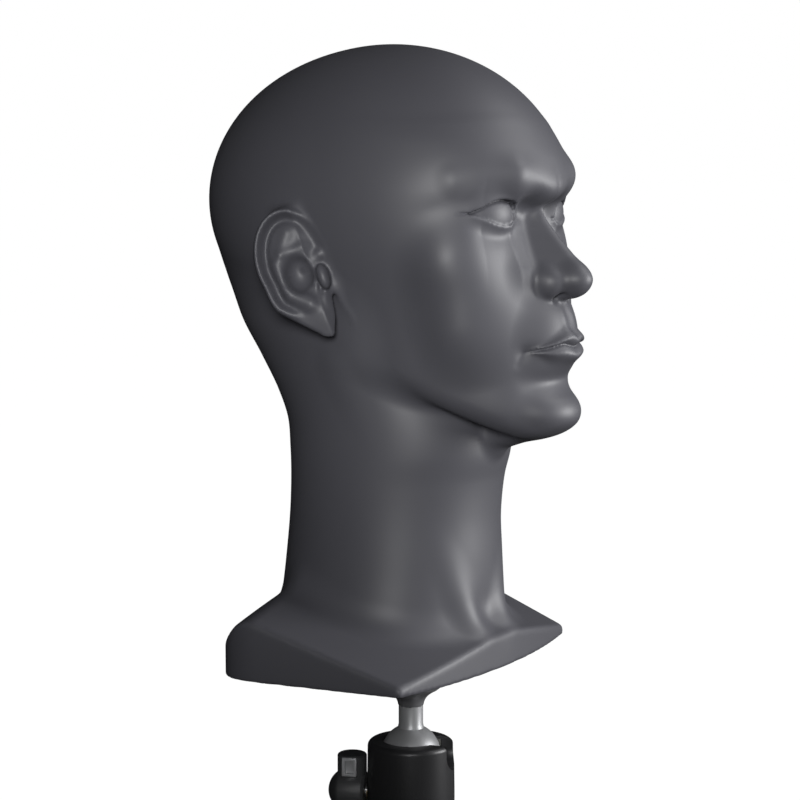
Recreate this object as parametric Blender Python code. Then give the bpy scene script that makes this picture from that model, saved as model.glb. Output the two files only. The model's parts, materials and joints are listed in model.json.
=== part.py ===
"""Display mannequin head on a ball head, every piece a separate solid.

Frame: +Z up, the face looks towards -Y, and the origin is the centre of the seat
under the ball head.  Lengths are written in millimetres and scaled to metres when
a mesh is made.
"""

import math

import bmesh
import bpy
import numpy as np
from mathutils import Matrix

# ---------------------------------------------------------------- driving dimensions
MM = 0.001
GAP = 0.3                    # clearance left between neighbouring pieces

# The origin is the middle of the whole part's outline, on the plane of its seat.
PAN_AXIS_Y = -7.0            # the pan axis stands this far from the origin

# heights above the seat
BALL_CENTRE_Z = 52.0
BUST_Z = 111.0               # underside of the bust
LOCK_AXIS_Z = BALL_CENTRE_Z - 24.0
PAN_LOCK_Z = 13.0

# ball head
HOUSING_TURN = math.radians(-70.0)   # the drop notch points this way, from +X
BALL_R = 17.2
STEM_R = 7.1
HOUSING_R = 25.5
HOUSING_BORE_R = 19.0
HOUSING_TOP_Z = BALL_CENTRE_Z + 8.3
NOTCH_WIDTH = 20.0
NOTCH_FLOOR_Z = BALL_CENTRE_Z - 8.5
BASE_R = 24.0
BASE_TOP_Z = 8.0
POST_R = 8.0
FLOOR_TOP_Z = 17.0
WEDGE_SLOPE = 0.5            # rise of the ball cup per unit of plunger travel
PLUNGER_R = 4.0
PLATFORM_R = 19.8
STUD_R = 4.76                # 3/8 inch tripod thread

# lock knob, measured outwards from the pan axis
KNOB_START = 26.4
KNOB_LOBE_R = 8.6
KNOB_REACH = 22.0            # end of each lobe from the knob's axis
KNOB_END = 49.0
INLAY_HEIGHT = 15.5          # middle of the steel inlay from the knob's axis
INLAY_HALF_HEIGHT = 5.5
INLAY_HALF_WIDTH = 4.35

# bust, measured from its underside
BUST_WALL = 4.0
FLOOR_THICKNESS = 5.0
FLOOR_POINTS = 44
FLOOR_FIT = 1.2              # clearance of the floor plate inside the shell
FLOOR_SCREW_SPOTS = ((-72.0, 38.0), (72.0, 38.0), (-62.0, -18.0), (62.0, -18.0))
SOCKET_SCREW_COUNT = 4
SOCKET_SCREW_PITCH_R = 13.0

COLLAR_HALF_WIDTH = 100.6            # at the stem; the sides spread towards the back
COLLAR_FRONT = -62.5
COLLAR_BACK = 65.0

# outlines of the bust as (height above its underside, distance from the stem's axis)
FACE_FRONT = ((118.0, -72.0), (128.0, -88.0), (145.0, -95.0), (163.0, -93.0), (190.0, -93.5),
              (207.0, -90.5), (218.0, -87.0), (232.0, -81.0), (246.0, -78.0), (256.0, -79.0),
              (268.0, -82.0), (282.0, -82.5), (300.0, -69.5))
FACE_HALF_WIDTH = ((118.0, 40.0), (140.0, 51.0), (165.0, 57.5), (190.0, 60.5), (215.0, 64.5),
                   (240.0, 69.0), (265.0, 70.0), (300.0, 60.0))
NECK_FRONT = ((0.0, -50.0), (60.0, -49.5), (87.0, -50.0), (105.0, -52.5), (122.0, -57.0),
              (150.0, -52.0), (175.0, -35.0))
NECK_BACK = ((0.0, 80.0), (55.0, 74.0), (90.0, 71.0), (120.0, 71.0), (138.0, 73.0),
             (152.0, 79.5), (172.0, 92.5), (193.0, 107.0), (213.0, 115.5), (235.0, 120.5))
NECK_HALF_WIDTH = ((0.0, 66.0), (30.0, 64.0), (55.0, 60.5), (90.0, 58.0), (120.0, 58.0),
                   (150.0, 59.0), (172.0, 61.0), (193.0, 63.0), (213.0, 62.0), (235.0, 58.0))

# lattices on which the shell's two surfaces are found
LATTICE_LOW = (-120.0, -120.0, -15.0)
LATTICE_HIGH = (120.0, 130.0, 355.0)
OUTER_STEP = 3.0
OUTER_TRIANGLES = 6400
INNER_STEP = 5.0
INNER_TRIANGLES = 1500

ROUND_SEGMENTS = 36
SMALL_SEGMENTS = 12
SCREW_SEGMENTS = 10


# ---------------------------------------------------------------- scene helpers
def clear_scene():
    for obj in list(bpy.data.objects):
        bpy.data.objects.remove(obj, do_unlink=True)


def make_material(name, colour, roughness, metallic=0.0):
    material = bpy.data.materials.new(name)
    material.use_nodes = True
    shader = material.node_tree.nodes["Principled BSDF"]
    shader.inputs["Base Color"].default_value = (*colour, 1.0)
    shader.inputs["Roughness"].default_value = roughness
    shader.inputs["Metallic"].default_value = metallic
    return material


def link_mesh(name, bm, material, frame=None, smooth_angle=35.0, mesh_scale=MM):
    """Turns a bmesh in millimetres into an object in metres, placed by its frame.

    The mesh itself is scaled by mesh_scale and the object makes up the rest.
    """
    bmesh.ops.scale(bm, vec=(mesh_scale,) * 3, verts=bm.verts)
    bmesh.ops.recalc_face_normals(bm, faces=bm.faces)
    mesh = bpy.data.meshes.new(name)
    bm.to_mesh(mesh)
    bm.free()
    mesh.shade_smooth()
    mesh.set_sharp_from_angle(angle=math.radians(smooth_angle))
    obj = bpy.data.objects.new(name, mesh)
    obj.scale = (MM / mesh_scale,) * 3
    if material:
        mesh.materials.append(material)
    if frame:
        place_object(obj, frame)
    bpy.context.scene.collection.objects.link(obj)
    return obj


def place_object(obj, frame):
    obj.location = frame.to_translation() * MM
    obj.rotation_euler = frame.to_euler()


def housing_frame():
    """Rotation from the housing's own axes (+X out through the notch) to the world."""
    return Matrix.Rotation(HOUSING_TURN, 4, "Z")


def outward_frame(angle, height):
    """Local +Z points outwards from the pan axis at an angle to the notch; local +X points up."""
    upright = Matrix.Rotation(math.radians(-90.0), 4, "Y")
    outward = Matrix.Rotation(math.pi + angle, 4, "Z") @ upright
    return housing_frame() @ Matrix.Translation((0.0, 0.0, height)) @ outward


# ---------------------------------------------------------------- mesh builders
def add_revolved(bm, profile, segments=ROUND_SEGMENTS, closed=False):
    """Sweeps (radius, height) points round Z.

    An open profile starts and ends on the axis; a closed one makes a ring.
    """
    angles = [2.0 * math.pi * i / segments for i in range(segments)]
    rings = []
    for radius, height in profile:
        if radius < 1e-6:
            rings.append([bm.verts.new((0.0, 0.0, height))])
        else:
            rings.append([bm.verts.new((radius * math.cos(a), radius * math.sin(a), height))
                          for a in angles])
    pairs = list(zip(rings, rings[1:]))
    if closed:
        pairs.append((rings[-1], rings[0]))
    for lower, upper in pairs:
        join_rings(bm, lower, upper)


def join_rings(bm, lower, upper):
    """Skins two rings of points; a ring of one point is a pole."""
    count = max(len(lower), len(upper))
    for i in range(count):
        j = (i + 1) % count
        if len(lower) == 1:
            bm.faces.new((lower[0], upper[j], upper[i]))
        elif len(upper) == 1:
            bm.faces.new((lower[i], lower[j], upper[0]))
        else:
            bm.faces.new((lower[i], lower[j], upper[j], upper[i]))


def add_prism(bm, outline, bottom, top):
    """Extrudes an (x, y) outline from one height to another."""
    low = [bm.verts.new((x, y, bottom)) for x, y in outline]
    high = [bm.verts.new((x, y, top)) for x, y in outline]
    join_rings(bm, low, high)
    bm.faces.new(low)
    bm.faces.new(high)


def add_cylinder(bm, radius, bottom, top, segments=SMALL_SEGMENTS, chamfer=0.0):
    if chamfer:
        profile = [(0.0, bottom), (radius - chamfer, bottom), (radius, bottom + chamfer),
                   (radius, top - chamfer), (radius - chamfer, top), (0.0, top)]
    else:
        profile = [(0.0, bottom), (radius, bottom), (radius, top), (0.0, top)]
    add_revolved(bm, profile, segments)


def revolved(name, profile, material, segments=ROUND_SEGMENTS, closed=False, frame=None):
    bm = bmesh.new()
    add_revolved(bm, profile, segments, closed)
    return link_mesh(name, bm, material, frame)


def cylinder_tool(name, radius, bottom, top, frame, segments=SMALL_SEGMENTS):
    bm = bmesh.new()
    add_cylinder(bm, radius, bottom, top, segments)
    return link_mesh(name, bm, None, frame)


def apply_tool(target, tool, operation="DIFFERENCE"):
    """Cuts with, or welds on, a hidden helper body."""
    modifier = target.modifiers.new(tool.name, "BOOLEAN")
    modifier.operation = operation
    modifier.solver = "EXACT"
    modifier.object = tool
    tool.hide_render = True
    tool.display_type = "WIRE"


def arc(radius, start, end, steps, centre=(0.0, 0.0)):
    """Points on an arc; angles in degrees from +X."""
    points = []
    for i in range(steps + 1):
        angle = math.radians(start + (end - start) * i / steps)
        points.append((centre[0] + radius * math.cos(angle),
                       centre[1] + radius * math.sin(angle)))
    return points


# ---------------------------------------------------------------- base and pan bearing
def build_base(materials):
    base = [(6.8, 0.0), (BASE_R - 1.2, 0.0), (BASE_R, 1.2), (BASE_R, BASE_TOP_Z - 1.0),
            (BASE_R - 1.0, BASE_TOP_Z), (POST_R, BASE_TOP_Z), (POST_R, 11.2), (6.5, 12.2),
            (6.5, 13.8), (POST_R, 14.8), (POST_R, FLOOR_TOP_Z), (4.0, FLOOR_TOP_Z),
            (4.0, 9.3), (6.8, 9.3)]
    revolved("pan_base", base, materials["black_aluminium"], closed=True)

    bushing = [(STUD_R + 0.1, 0.2), (6.5, 0.2), (6.5, 9.0), (STUD_R + 0.1, 9.0)]
    revolved("tripod_bushing", bushing, materials["brass"], 24, closed=True)

    washer = [(4.1, 17.3), (12.0, 17.3), (12.0, 18.4), (4.1, 18.4)]
    revolved("retaining_washer", washer, materials["steel"], 32, closed=True)

    spring = [(4.1, 18.7), (4.9, 18.7), (9.0, 19.2), (9.0, 19.8), (8.2, 19.8), (4.1, 19.3)]
    revolved("spring_washer", spring, materials["steel"], 32, closed=True)

    head_top = 23.6
    bolt = [(0.0, 9.6), (3.7, 9.6), (3.7, 20.1), (6.5, 20.1), (6.5, head_top - 0.5),
            (6.0, head_top), (3.0, head_top), (3.0, 21.6), (0.0, 21.6)]
    revolved("retaining_bolt", bolt, materials["steel"], 24)


# ---------------------------------------------------------------- housing
def notch_outline():
    """The U of the drop notch seen from the front, as (sideways, height)."""
    half = NOTCH_WIDTH / 2
    floor_centre = (0.0, NOTCH_FLOOR_Z + half)
    top = HOUSING_TOP_Z + 5.0
    return [(half, top)] + arc(half, 0.0, -180.0, 12, floor_centre) + [(-half, top)]


def notch_tool(name, start, end):
    """The notch as a body along the housing's +X."""
    bm = bmesh.new()
    add_prism(bm, notch_outline(), start, end)
    # outline x -> housing Y, outline y -> world Z, extrusion -> housing X
    turn = Matrix(((0, 0, 1, 0), (1, 0, 0, 0), (0, 1, 0, 0), (0, 0, 0, 1)))
    return link_mesh(name, bm, None, housing_frame() @ turn)


def build_housing(materials):
    bottom = 8.6
    lip_r = 16.3
    shoulder = arc(5.0, 0.0, 75.0, 5, (19.3, HOUSING_TOP_Z - 5.4))
    profile = [(21.3, bottom), (24.8, bottom), (HOUSING_R, bottom + 0.8), (HOUSING_R, 30.0)]
    profile += shoulder
    profile += [(lip_r + 0.5, HOUSING_TOP_Z), (lip_r, HOUSING_TOP_Z - 0.5),
                (lip_r, BALL_CENTRE_Z + 6.8), (HOUSING_BORE_R, BALL_CENTRE_Z + 6.8),
                (HOUSING_BORE_R, FLOOR_TOP_Z + 0.3), (21.3, FLOOR_TOP_Z + 0.3)]
    housing = revolved("housing", profile, materials["black_aluminium"], closed=True)
    apply_tool(housing, notch_tool("housing_notch_tool", 8.0, 40.0))
    lock_frame = outward_frame(math.pi, LOCK_AXIS_Z)
    apply_tool(housing, cylinder_tool("housing_lock_bore_tool", 6.3, 10.0, 40.0, lock_frame, 24))
    pan_frame = outward_frame(math.pi / 2, PAN_LOCK_Z)
    apply_tool(housing, cylinder_tool("housing_pan_bore_tool", 3.3, 12.0, 40.0, pan_frame))

    floor = [(POST_R + GAP, 9.6), (21.0, 9.6), (21.0, FLOOR_TOP_Z), (POST_R + GAP, FLOOR_TOP_Z)]
    plug = revolved("housing_floor", floor, materials["aluminium"], closed=True)
    apply_tool(plug, cylinder_tool("floor_pan_bore_tool", 3.3, 5.0, 30.0, pan_frame))

    bearing = [(10.0, 8.3), (20.0, 8.3), (20.0, 9.3), (10.0, 9.3)]
    revolved("pan_bearing_ring", bearing, materials["white_nylon"], 32, closed=True)

    seat_r = BALL_R + GAP
    bottom_h, top_h = 1.0, 6.5
    ring = [(HOUSING_BORE_R - GAP, BALL_CENTRE_Z + bottom_h),
            (HOUSING_BORE_R - GAP, BALL_CENTRE_Z + top_h)]
    for height in (top_h, 4.0, bottom_h):
        ring.append((math.sqrt(seat_r ** 2 - height ** 2), BALL_CENTRE_Z + height))
    upper = revolved("upper_ball_ring", ring, materials["white_nylon"], closed=True)
    apply_tool(upper, notch_tool("ring_notch_tool", 6.0, 40.0))

    bushing = [(PLUNGER_R + GAP, 12.0), (6.0, 12.0), (6.0, 25.0), (PLUNGER_R + GAP, 25.0)]
    revolved("lock_bushing", bushing, materials["brass"], 24, closed=True, frame=lock_frame)


# ---------------------------------------------------------------- clamping the ball
def wedge_tool(name, clearance):
    """Body filling everything under the clamping slope, which falls away towards the notch."""
    reach = 30.0
    middle = BALL_CENTRE_Z - 22.0 + clearance * math.hypot(1.0, WEDGE_SLOPE)
    outline = [(-reach, middle + reach * WEDGE_SLOPE), (reach, middle - reach * WEDGE_SLOPE),
               (reach, middle - 40.0), (-reach, middle - 40.0)]
    bm = bmesh.new()
    add_prism(bm, outline, -reach, reach)
    # outline x -> housing X, outline y -> world Z, extrusion -> housing -Y
    turn = Matrix(((1, 0, 0, 0), (0, 0, -1, 0), (0, 1, 0, 0), (0, 0, 0, 1)))
    return link_mesh(name, bm, None, housing_frame() @ turn)


def build_clamp(materials):
    seat_r = BALL_R + GAP
    top_h, bottom_h = -9.0, -23.0
    cup = [(0.0, BALL_CENTRE_Z + bottom_h), (HOUSING_BORE_R - GAP, BALL_CENTRE_Z + bottom_h),
           (HOUSING_BORE_R - GAP, BALL_CENTRE_Z + top_h)]
    for height in (top_h, -11.5, -14.0, -16.0, -17.1):
        cup.append((math.sqrt(seat_r ** 2 - height ** 2), BALL_CENTRE_Z + height))
    cup.append((0.0, BALL_CENTRE_Z - seat_r))
    ball_cup = revolved("ball_cup", cup, materials["white_nylon"], 32)
    apply_tool(ball_cup, wedge_tool("cup_wedge_tool", GAP))

    lock_frame = outward_frame(math.pi, LOCK_AXIS_Z)
    bm = bmesh.new()
    add_cylinder(bm, PLUNGER_R, -3.0, 16.2, 24)
    plunger = link_mesh("lock_plunger", bm, materials["steel"], lock_frame)
    apply_tool(plunger, wedge_tool("plunger_wedge_tool", 0.0), "INTERSECT")

    screw = [(0.0, 16.5), (3.4, 16.5), (PLUNGER_R, 17.1), (PLUNGER_R, 40.0), (0.0, 40.0)]
    revolved("lock_screw", screw, materials["steel"], 24, frame=lock_frame)


def build_lock_knob(materials):
    frame = outward_frame(math.pi, LOCK_AXIS_Z)
    bore_end = 40.3
    dome = arc(13.0, 30.0, 90.0, 5, (0.0, KNOB_END - 13.0))[:-1]
    hub = [(0.0, bore_end), (PLUNGER_R + GAP, bore_end), (PLUNGER_R + GAP, KNOB_START),
           (10.0, KNOB_START), (11.5, KNOB_START + 1.5), (11.5, 41.0)]
    hub += dome + [(0.0, KNOB_END)]
    knob = revolved("lock_knob", hub, materials["black_plastic"], 32, frame=frame)

    lobe_middle = KNOB_START + KNOB_LOBE_R
    for side, name in ((1.0, "upper"), (-1.0, "lower")):
        bm = bmesh.new()
        add_cylinder(bm, KNOB_LOBE_R, 8.0, KNOB_REACH, 20, chamfer=0.8)
        # the lobe's own axis points up (or down) across the knob's axis
        upright = Matrix.Rotation(math.radians(90.0 * side), 4, "Y")
        lobe_frame = frame @ Matrix.Translation((0.0, 0.0, lobe_middle)) @ upright
        apply_tool(knob, link_mesh(f"knob_{name}_lobe_tool", bm, None, lobe_frame), "UNION")

    inlay_frame = frame @ inlay_place(lobe_middle)
    pocket = inlay_body(INLAY_HALF_WIDTH + GAP, INLAY_HALF_HEIGHT + GAP, 5.0, 12.0)
    apply_tool(knob, link_mesh("knob_inlay_pocket_tool", pocket, None, inlay_frame))
    inlay = inlay_body(INLAY_HALF_WIDTH, INLAY_HALF_HEIGHT, 5.0 + GAP, KNOB_LOBE_R - 0.3)
    inlay = link_mesh("knob_inlay", inlay, materials["satin_steel"], inlay_frame)
    recess = inlay_body(INLAY_HALF_WIDTH - 1.7, INLAY_HALF_HEIGHT - 2.0, 6.6, 12.0)
    apply_tool(inlay, link_mesh("knob_inlay_recess_tool", recess, None, inlay_frame))


def inlay_place(lobe_middle):
    """Puts an inlay's outward direction square to both the lobe and the knob's axis."""
    outward = Matrix.Rotation(math.radians(90.0), 4, "X")
    return Matrix.Translation((INLAY_HEIGHT, 0.0, lobe_middle)) @ outward


def inlay_body(half_width, half_height, start, end):
    bm = bmesh.new()
    outline = [(-half_height, -half_width), (half_height, -half_width),
               (half_height, half_width), (-half_height, half_width)]
    add_prism(bm, outline, start, end)
    return bm


def build_pan_lock(materials):
    frame = outward_frame(math.pi / 2, PAN_LOCK_Z)
    pin = [(0.0, 6.9), (0.4, 6.9), (1.2, 8.1), (2.4, 9.2), (2.4, 15.7), (0.0, 15.7)]
    revolved("pan_lock_pin", pin, materials["white_nylon"], SMALL_SEGMENTS, frame=frame)

    screw = [(0.0, 16.0), (2.5, 16.0), (3.0, 16.5), (3.0, 34.0), (0.0, 34.0)]
    revolved("pan_lock_screw", screw, materials["steel"], SMALL_SEGMENTS, frame=frame)

    start, end = 26.5, 39.0
    ridges = 18
    bm = bmesh.new()
    outline = []
    for i in range(2 * ridges):
        radius = 7.2 if i % 2 else 6.6
        angle = math.pi * i / ridges
        outline.append((radius * math.cos(angle), radius * math.sin(angle)))
    add_prism(bm, outline, start, end)
    knob = link_mesh("pan_lock_knob", bm, materials["black_plastic"], frame)
    apply_tool(knob, cylinder_tool("pan_knob_bore_tool", 3.0 + GAP, start - 5.0, 34.3, frame))


# ---------------------------------------------------------------- ball, platform, stud
def build_ball(materials):
    """The ball turns about its centre, so its piece has its origin there."""
    neck_r = 7.6
    neck_angle = math.degrees(math.acos(neck_r / BALL_R))
    stem_top = BUST_Z - BALL_CENTRE_Z - 30.0 - GAP
    tenon_top = BUST_Z - BALL_CENTRE_Z - 14.0
    profile = [(0.0, -BALL_R)] + arc(BALL_R, -82.0, neck_angle, 13)
    profile += [(STEM_R + 0.2, 17.0), (STEM_R, stem_top - 0.3), (STEM_R - 0.3, stem_top),
                (6.0, stem_top), (6.0, tenon_top), (0.0, tenon_top)]
    ball_frame = Matrix.Translation((0.0, 0.0, BALL_CENTRE_Z))
    revolved("ball_stem", profile, materials["satin_steel"], frame=ball_frame)

    top_frame = Matrix.Translation((0.0, 0.0, BUST_Z))
    platform = [(0.0, -13.7), (6.3, -13.7), (6.3, -30.0), (7.4, -30.0), (8.4, -26.8),
                (10.8, -23.8), (14.3, -21.4), (19.0, -19.4), (PLATFORM_R, -18.6),
                (PLATFORM_R, -4.6), (19.0, -3.8), (STUD_R + GAP, -3.8), (STUD_R + GAP, -11.4),
                (0.0, -11.4)]
    revolved("platform", platform, materials["grey_aluminium"], frame=top_frame)

    pad = [(STUD_R + GAP, -3.5), (18.6, -3.5), (18.6, -0.4), (STUD_R + GAP, -0.4)]
    revolved("platform_pad", pad, materials["rubber"], 24, closed=True, frame=top_frame)

    stud = [(0.0, -11.1), (STUD_R, -11.1), (STUD_R, 8.2), (STUD_R - 0.9, 9.1), (0.0, 9.1)]
    revolved("mount_stud", stud, materials["steel"], 16, frame=top_frame)


# ---------------------------------------------------------------- form of the bust
def blend_min(a, b, reach):
    """Union of two distance fields with a fillet of the given reach."""
    share = np.clip(0.5 + 0.5 * (b - a) / reach, 0.0, 1.0)
    return b * (1.0 - share) + a * share - reach * share * (1.0 - share)


def blend_max(a, b, reach):
    return -blend_min(-a, -b, reach)


def ellipsoid(x, y, z, centre, radii):
    px, py, pz = ((p - c) / r for p, c, r in zip((x, y, z), centre, radii))
    scaled = np.sqrt(px * px + py * py + pz * pz)
    slope = np.sqrt((px / radii[0]) ** 2 + (py / radii[1]) ** 2 + (pz / radii[2]) ** 2)
    return scaled * (scaled - 1.0) / np.maximum(slope, 1e-6)


def round_cone(x, y, z, start, end):
    """Distance to a bar; each end is (x, y, z, radius)."""
    span = [e - s for s, e in zip(start[:3], end[:3])]
    length_sq = sum(s * s for s in span)
    along = sum((p - s) * d for p, s, d in zip((x, y, z), start, span))
    t = np.clip(along / length_sq, 0.0, 1.0)
    off = [p - s - t * d for p, s, d in zip((x, y, z), start, span)]
    radius = start[3] + (end[3] - start[3]) * t
    return np.sqrt(off[0] ** 2 + off[1] ** 2 + off[2] ** 2) - radius


def egg_section(x, y, middle, half, front, back, power):
    """Distance to a level egg-shaped outline, whose sizes may vary with height."""
    reach = np.where(y < middle, middle - front, back - middle)
    grown = (np.abs(x) / half) ** power + (np.abs(y - middle) / reach) ** power
    grown = np.maximum(grown, 1e-9) ** (1.0 / power)
    radial = np.sqrt(x * x + (y - middle) ** 2)
    inside = -0.7 * np.minimum(half, reach)
    return np.where(grown > 0.3, radial - radial / np.maximum(grown, 0.3), inside)


def outline_curve(z, points):
    """Smooth curve through (height, value) points."""
    heights = np.array([p[0] for p in points])
    values = np.array([p[1] for p in points])
    slopes = np.gradient(values, heights)
    z = np.clip(z, heights[0], heights[-1])
    i = np.clip(np.searchsorted(heights, z) - 1, 0, len(heights) - 2)
    step = heights[i + 1] - heights[i]
    t = (z - heights[i]) / step
    return ((1 + 2 * t) * (1 - t) ** 2 * values[i] + t * (1 - t) ** 2 * step * slopes[i]
            + t * t * (3 - 2 * t) * values[i + 1] + t * t * (t - 1) * step * slopes[i + 1])


def skull_field(x, y, z):
    """Cranium, face block and jaw without features."""
    cranium = ellipsoid(x, y, z, (0.0, 13.7, 262.0), (77.0, 107.0, 86.0))
    crown = ellipsoid(x, y, z, (0.0, 35.2, 260.5), (73.0, 91.6, 78.5))
    skull = blend_min(cranium, crown, 8.0)
    front = outline_curve(z, FACE_FRONT)
    half = outline_curve(z, FACE_HALF_WIDTH)
    face = egg_section(x, y, -8.0, half, front, 45.0, 2.15)
    jaw_underside = (161.0 + (y + 7.0) * 0.41 + 0.1 * np.abs(x) - z) * 0.92
    face = blend_max(face, jaw_underside, 12.0)
    face = blend_max(face, z - 296.0, 10.0)
    return blend_min(skull, face, 14.0)


def neck_field(x, y, z):
    front = outline_curve(z, NECK_FRONT)
    back = outline_curve(z, NECK_BACK)
    half = outline_curve(z, NECK_HALF_WIDTH)
    column = egg_section(x, y, 8.0, half, front, back, 2.1)
    return blend_max(column, z - 232.0, 12.0)


def collar_outline(x, y):
    """Distance to the upright cuts that end the bust at the sides, front and back."""
    front = (COLLAR_FRONT + 11.0 * (x / 90.0) ** 2) - y
    side = (np.abs(x) - COLLAR_HALF_WIDTH - 0.147 * y) * 0.99
    back = y - COLLAR_BACK
    return blend_max(blend_max(front, side, 2.0), back, 30.0)


def collar_top(x, y, z):
    """Distance over the sloping top of the shoulders, highest along the back."""
    arch = 18.0 * (1.0 - (x / COLLAR_HALF_WIDTH) ** 2)
    rising = 24.0 + 0.36 * y + arch
    falling = 91.7 + 0.9 * arch - 1.15 * y
    return (z - blend_min(rising, falling, 14.0)) * 0.85


def plain_bust_field(x, y, z):
    """Head, neck and collar without features; negative inside."""
    outline = collar_outline(x, y)
    bust = blend_min(skull_field(x, y, z), neck_field(x, y, z), 10.0)
    collar = blend_max(collar_top(x, y, z), outline, 3.0)
    bust = blend_min(bust, collar, 20.0)
    return blend_max(bust, np.minimum(outline, 70.0 - z), 2.5)


def eye_socket(side, y, z):
    return ellipsoid(side, y, z, (31.0, -91.0, 252.0), (18.0, 16.0, 9.0))


def add_face(bust, x, y, z):
    side = np.abs(x)
    brow = round_cone(side, y, z, (6.0, -82.5, 266.5, 8.5), (42.0, -70.0, 270.0, 8.0))
    bust = blend_min(bust, brow, 10.0)
    cheekbone = ellipsoid(side, y, z, (44.0, -59.0, 230.0), (17.0, 21.0, 13.0))
    bust = blend_min(bust, cheekbone, 14.0)
    bust = blend_max(bust, -eye_socket(side, y, z), 9.0)
    eye = ellipsoid(side, y, z, (33.5, -68.0, 253.0), (15.0, 12.5, 11.0))
    bust = blend_min(bust, eye, 4.0)
    ridge = round_cone(side, y, z, (0.0, -81.0, 253.0, 6.5), (0.0, -102.0, 221.0, 8.5))
    tip = ellipsoid(side, y, z, (0.0, -103.3, 218.5), (9.5, 9.6, 8.8))
    wing = ellipsoid(side, y, z, (12.3, -92.5, 216.3), (6.6, 9.3, 8.0))
    nose = blend_min(blend_min(ridge, tip, 5.0), wing, 5.0)
    bust = blend_min(bust, nose, 5.0)
    upper_lip = round_cone(side, y, z, (0.0, -98.5, 188.5, 7.5), (23.0, -84.0, 181.0, 3.5))
    lower_lip = round_cone(side, y, z, (0.0, -97.5, 175.0, 7.5), (21.0, -84.5, 178.0, 3.5))
    lips = blend_min(upper_lip, lower_lip, 1.0)
    bust = blend_min(bust, lips, 4.0)
    chin = ellipsoid(side, y, z, (0.0, -87.5, 144.0), (23.0, 17.5, 15.0))
    return blend_min(bust, chin, 8.0)


def add_ears(bust, x, y, z):
    """An ear is a disc leaning back and standing off the skull at its rear edge."""
    side = np.abs(x)
    lean, flare = math.radians(22.0), math.radians(24.0)
    dx, dy, dz = side - 79.0, y - 21.0, z - 225.0
    along = dz * math.cos(lean) + dy * math.sin(lean)
    back = dy * math.cos(lean) - dz * math.sin(lean)
    depth = dx * math.cos(flare) - back * math.sin(flare)
    back = back * math.cos(flare) + dx * math.sin(flare)
    shell = ellipsoid(depth, back, along, (0.0, 0.0, 0.0), (6.0, 22.0, 39.0))
    bowl = ellipsoid(depth, back, along, (7.5, -3.0, -2.0), (8.0, 11.0, 19.0))
    shell = blend_max(shell, -bowl, 2.5)
    return blend_min(bust, shell, 4.0)


def bust_field(x, y, z):
    return add_ears(add_face(plain_bust_field(x, y, z), x, y, z), x, y, z)


def solid_field(x, y, z):
    """The bust as if it were solid, ending in its flat underside."""
    return np.maximum(bust_field(x, y, z), -z)


def hollow_field(x, y, z):
    """The room inside the shell, clear of the eye sockets and open below."""
    room = plain_bust_field(x, y, z) + BUST_WALL
    room = blend_max(room, BUST_WALL - eye_socket(np.abs(x), y, z), 6.0)
    return np.maximum(room, -z - 10.0)


# ---------------------------------------------------------------- bust meshes
def surface_net(field, low, high, step):
    """Quads round a field's zero surface: one point in each lattice cell that it crosses."""
    axes = [np.arange(a, b + step, step) for a, b in zip(low, high)]
    values = field(*np.meshgrid(*axes, indexing="ij"))
    cells = tuple(n - 1 for n in values.shape)
    total, count = np.zeros(cells + (3,)), np.zeros(cells)
    crossings = []
    for axis in range(3):
        near = np.take(values, range(values.shape[axis] - 1), axis)
        far = np.take(values, range(1, values.shape[axis]), axis)
        edges = np.argwhere((near < 0.0) != (far < 0.0))
        a, b = near[tuple(edges.T)], far[tuple(edges.T)]
        place = edges.astype(float)
        place[:, axis] += a / (a - b)
        around = cells_around(edges, axis)
        for cell in around:
            np.add.at(total, tuple(cell.T), place)
            np.add.at(count, tuple(cell.T), 1.0)
        crossings.append((around, a < 0.0))
    used = count > 0.0
    index = np.cumsum(used).reshape(cells) - 1
    points = np.array(low) + step * total[used] / count[used][:, None]
    quads = []
    for around, leaving in crossings:
        quad = np.stack([index[tuple(cell.T)] for cell in around], axis=1)
        quads.append(np.where(leaving[:, None], quad, quad[:, ::-1]))
    return points, np.concatenate(quads)


def cells_around(edges, axis):
    """The four lattice cells that share each edge, in order round it."""
    second, third = np.eye(3, dtype=int)[(axis + 1) % 3], np.eye(3, dtype=int)[(axis + 2) % 3]
    return [edges - second - third, edges - third, edges, edges - second]


def thin_out(obj, triangles):
    """Collapses the least telling edges until about this many triangles are left."""
    have = sum(len(face.vertices) - 2 for face in obj.data.polygons)
    modifier = obj.modifiers.new("thin_out", "DECIMATE")
    modifier.ratio = triangles / have


def net_object(name, field, step, triangles, material):
    points, quads = surface_net(field, LATTICE_LOW, LATTICE_HIGH, step)
    bm = bmesh.new()
    verts = [bm.verts.new(point) for point in points]
    for quad in quads:
        bm.faces.new([verts[i] for i in quad])
    # the collapse weighs squared lengths, so this mesh stays in millimetres
    frame = Matrix.Translation((0.0, 0.0, BUST_Z))
    obj = link_mesh(name, bm, material, frame, 60.0, 1.0)
    thin_out(obj, triangles)
    return obj


def build_head_shell(materials):
    shell = net_object("head_shell", solid_field, OUTER_STEP, OUTER_TRIANGLES,
                       materials["charcoal_plastic"])
    hollow = net_object("head_hollow_tool", hollow_field, INNER_STEP, INNER_TRIANGLES, None)
    apply_tool(shell, hollow)


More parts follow.
